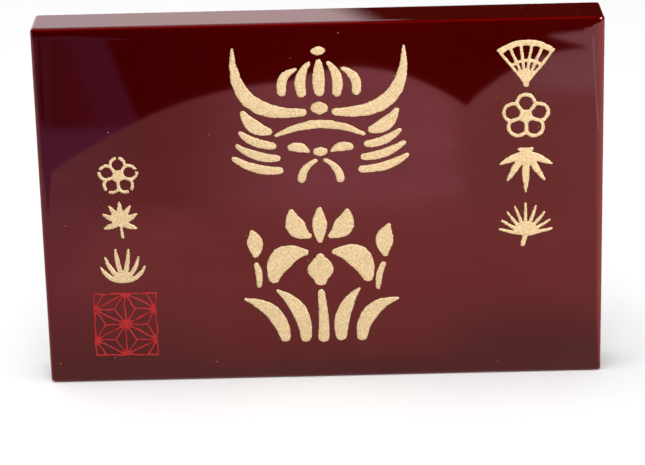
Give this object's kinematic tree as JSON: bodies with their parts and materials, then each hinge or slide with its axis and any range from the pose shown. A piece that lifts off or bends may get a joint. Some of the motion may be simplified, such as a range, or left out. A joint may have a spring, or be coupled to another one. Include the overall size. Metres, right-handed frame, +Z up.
{
  "type": "lacquered wooden title plaque",
  "caption": "Free-standing thick red lacquered board with raised gilt helmet, iris and small plant motifs and a red seal, for standing beside a display piece.",
  "frame": {"origin": "middle of the flat base that the board stands on", "axes": "+X to the viewer's right along the long side, -Y the way the gilt face looks, +Z up the board"},
  "size_m": [0.15, 0.0153, 0.1],
  "materials": {
    "lacquer": "deep red translucent lacquer, polished to a mirror gloss, brighter red where it thins over the rounded edges",
    "gilt": "pale gold powder laid in relief, matt and granular, slightly ragged at its edges",
    "vermilion": "thin raised red enamel lines, satin"
  },
  "bodies": {
    "root": {"board": "lacquer", "helmet_cord_knot": "gilt", "helmet_cord_loop_left": "gilt", "helmet_cord_loop_right": "gilt", "helmet_cord_tail_left": "gilt", "helmet_cord_tail_right": "gilt", "helmet_crest_disc": "gilt", "helmet_ear_flap_left": "gilt", "helmet_ear_flap_right": "gilt", "helmet_horn_left": "gilt", "helmet_horn_right": "gilt", "helmet_knob": "gilt", "helmet_lame_lower_left": "gilt", "helmet_lame_lower_right": "gilt", "helmet_lame_middle_left": "gilt", "helmet_lame_middle_right": "gilt", "helmet_lame_upper_left": "gilt", "helmet_lame_upper_right": "gilt", "helmet_rib_inner_left": "gilt", "helmet_rib_inner_right": "gilt", "helmet_rib_middle": "gilt", "helmet_rib_outer_left": "gilt", "helmet_rib_outer_right": "gilt", "helmet_visor": "gilt", "iris_bud": "gilt", "iris_bud_stem": "gilt", "iris_fall_petal_left": "gilt", "iris_fall_petal_right": "gilt", "iris_front_petal": "gilt", "iris_inner_leaf_left": "gilt", "iris_inner_leaf_right": "gilt", "iris_outer_leaf_left": "gilt", "iris_outer_leaf_right": "gilt", "iris_side_bud": "gilt", "iris_side_bud_stem": "gilt", "iris_stem": "gilt", "iris_top_petal_left": "gilt", "iris_top_petal_middle": "gilt", "iris_top_petal_right": "gilt", "bamboo_leaves": "gilt", "cherry_blossom": "gilt", "fan": "gilt", "maple_leaf": "gilt", "pine_sprig": "gilt", "plum_blossom": "gilt", "reed_tuft": "gilt", "seal": "vermilion"}
  },
  "joints": []
}
